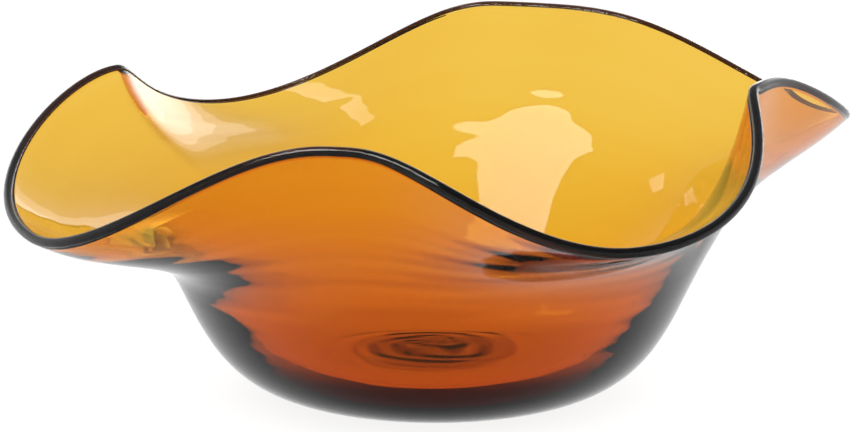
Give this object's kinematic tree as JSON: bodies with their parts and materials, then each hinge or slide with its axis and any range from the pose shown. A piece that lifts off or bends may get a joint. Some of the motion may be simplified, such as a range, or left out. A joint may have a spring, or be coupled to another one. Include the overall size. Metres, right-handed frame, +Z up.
{
  "type": "art glass bowl",
  "caption": "Free-blown amber glass centrepiece bowl: round body on a flat foot, opening into a wavy handkerchief rim with a dark lip wrap.",
  "frame": {"origin": "centre of the flat foot, on the surface that the bowl stands on", "axes": "+Z up along the axis of the round body, +Y to the back of the bowl, +X to its right seen from the front"},
  "size_m": [0.444, 0.4662, 0.176],
  "materials": {
    "amber_glass": "fire-polished transparent amber, clear gold where it is thin and orange-brown where it is thick",
    "smoke_glass": "fire-polished transparent grey smoke",
    "lip_glass": "fire-polished, almost black",
    "pontil_glass": "ground and polished flat, with swirls inside"
  },
  "bodies": {
    "root": {"amber_core": "amber_glass", "smoke_casing": "smoke_glass", "lip_wrap": "lip_glass", "pontil_button": "pontil_glass"}
  },
  "joints": []
}
